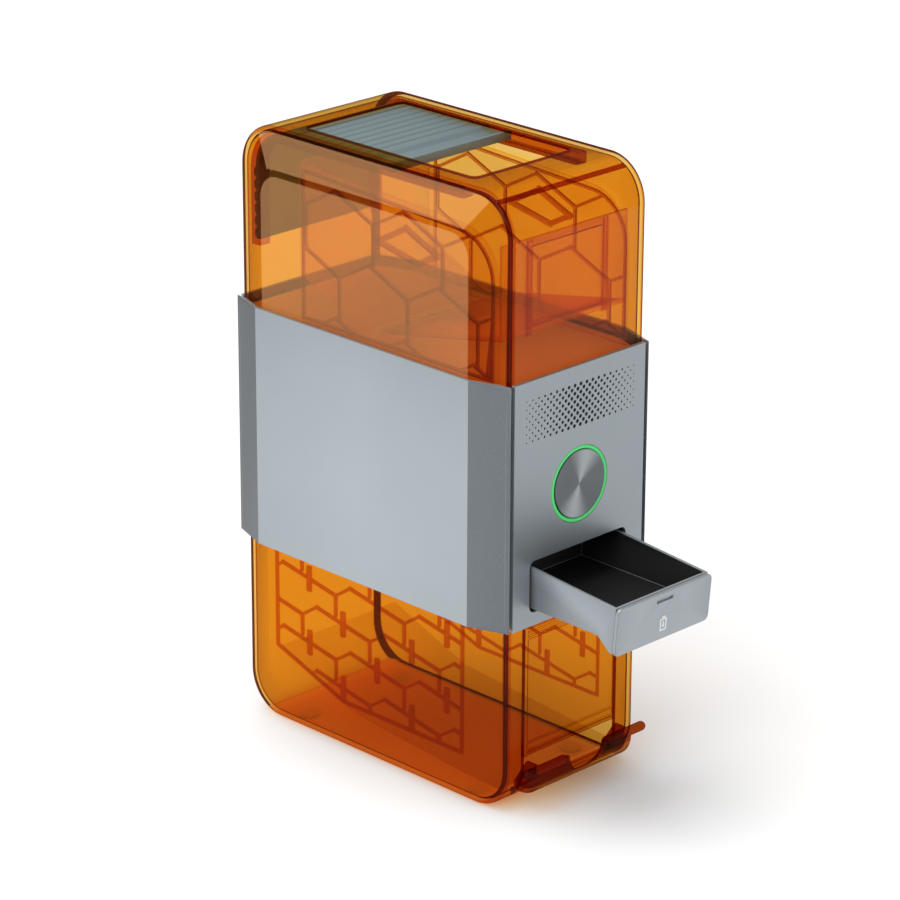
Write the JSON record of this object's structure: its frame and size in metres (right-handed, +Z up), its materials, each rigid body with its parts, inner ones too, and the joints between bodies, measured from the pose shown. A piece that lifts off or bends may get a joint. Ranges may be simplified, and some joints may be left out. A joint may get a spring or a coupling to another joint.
{
  "type": "battery charging and storage station",
  "caption": "Upright station with an amber hopper under a roller-shutter lid, a grey feed and charge housing with a reject drawer, and an amber store with an outlet scoop.",
  "frame": {"origin": "middle of the flat base, on the surface that the station stands on", "axes": "+Z up; -Y is the narrow front with the grille, button, drawer and outlet; +X to the right seen from the front"},
  "size_m": [0.1256, 0.285, 0.36],
  "materials": {
    "amber_plastic": "clear amber, polished",
    "housing_metal": "satin grey with a fine metallic grain",
    "drawer_paint": "satin grey paint",
    "slat_plastic": "matt blue-grey",
    "black_plastic": "matt black",
    "spun_metal": "spun in circles",
    "light_ring": "lit green",
    "steel": "plain zinc plate",
    "circuit_board": "green solder mask",
    "gear_plastic": "natural moulded plastic",
    "brass": "bright",
    "foot_rubber": "matt",
    "orange_plastic": "satin, moulded"
  },
  "bodies": {
    "station": {"side_cover_right": "housing_metal", "side_cover_left": "housing_metal", "front_panel": "housing_metal", "rear_panel": "housing_metal", "upper_deck": "orange_plastic", "lower_deck": "black_plastic", "rear_screw_1": "steel", "rear_screw_2": "steel", "rear_screw_3": "steel", "rear_screw_4": "steel", "button_ring": "light_ring", "button_holder": "black_plastic", "button_switch": "black_plastic", "drawer_rail_right": "steel", "drawer_rail_left": "steel", "drawer_bay": "black_plastic", "fan_frame": "black_plastic", "drum_motor": "steel", "motor_plate": "steel", "drum_bracket_right": "steel", "drum_bracket_left": "steel", "charge_cradle": "black_plastic", "contact_strip_right": "brass", "contact_strip_left": "brass", "flap_servo": "black_plastic", "main_board": "circuit_board", "power_module": "black_plastic", "power_inlet": "black_plastic", "upper_shell": "amber_plastic", "lid_track_right": "amber_plastic", "lid_track_left": "amber_plastic", "lid_curtain_rear": "slat_plastic", "hopper_floor_rear": "amber_plastic", "hopper_floor_front": "amber_plastic", "hopper_wall_right": "amber_plastic", "hopper_wall_left": "amber_plastic", "lower_shell": "amber_plastic", "front_window": "amber_plastic", "store_ramp": "amber_plastic", "store_ribs_right": "amber_plastic", "store_ribs_left": "amber_plastic", "foot_1": "foot_rubber", "foot_2": "foot_rubber", "foot_3": "foot_rubber", "foot_4": "foot_rubber"},
    "button": {"button_cap": "spun_metal"},
    "drawer_sled": {"drawer_carriage": "black_plastic"},
    "drawer": {"drawer_tray": "drawer_paint", "drawer_front": "drawer_paint", "drawer_latch": "slat_plastic"},
    "lid": {"lid_front_slat": "slat_plastic", "lid_curtain": "slat_plastic"},
    "fan": {"fan_rotor": "black_plastic"},
    "drum": {"feed_drum": "gear_plastic", "drum_gear": "gear_plastic"},
    "pinion": {"motor_pinion": "brass"},
    "flap": {"sorting_flap": "slat_plastic"},
    "scoop": {"outlet_scoop": "amber_plastic"}
  },
  "joints": [
    {"name": "drawer_slide", "type": "slide", "parent": "station", "child": "drawer_sled", "axis": [0, 1, 0], "range_m": [0, 0.0655]},
    {"name": "drawer_tilt", "type": "hinge", "parent": "drawer_sled", "child": "drawer", "pos_m": [0, -0.0815, 0.145], "axis": [1, 0, 0], "range_deg": [-4.95, 0]},
    {"name": "lid_slide", "type": "slide", "parent": "station", "child": "lid", "axis": [0, -1, 0], "range_m": [0, 0.0545]},
    {"name": "button_press", "type": "slide", "parent": "station", "child": "button", "axis": [0, 1, 0], "range_m": [0, 0.0015], "stiffness_N_per_m": 300, "springref_m": -0.002},
    {"name": "fan_spin", "type": "hinge", "parent": "station", "child": "fan", "pos_m": [0, -0.0976, 0.2323], "axis": [0, -1, 0], "continuous": true},
    {"name": "drum_spin", "type": "hinge", "parent": "station", "child": "drum", "pos_m": [0, 0.01, 0.2225], "axis": [1, 0, 0], "continuous": true},
    {"name": "pinion_spin", "type": "hinge", "parent": "station", "child": "pinion", "pos_m": [0.034, 0.034, 0.2225], "axis": [1, 0, 0], "continuous": true},
    {"name": "flap_turn", "type": "hinge", "parent": "station", "child": "flap", "pos_m": [0, 0.026, 0.16], "axis": [1, 0, 0], "range_deg": [-40, 40]},
    {"name": "scoop_tip", "type": "hinge", "parent": "station", "child": "scoop", "pos_m": [0, -0.0982, 0.0107], "axis": [1, 0, 0], "range_deg": [0, 25]}
  ],
  "couplings": [
    {"joint": "drawer_tilt", "follows": "drawer_slide", "rad_per_m": -1.3057},
    {"joint": "pinion_spin", "follows": "drum_spin", "ratio": -3}
  ]
}
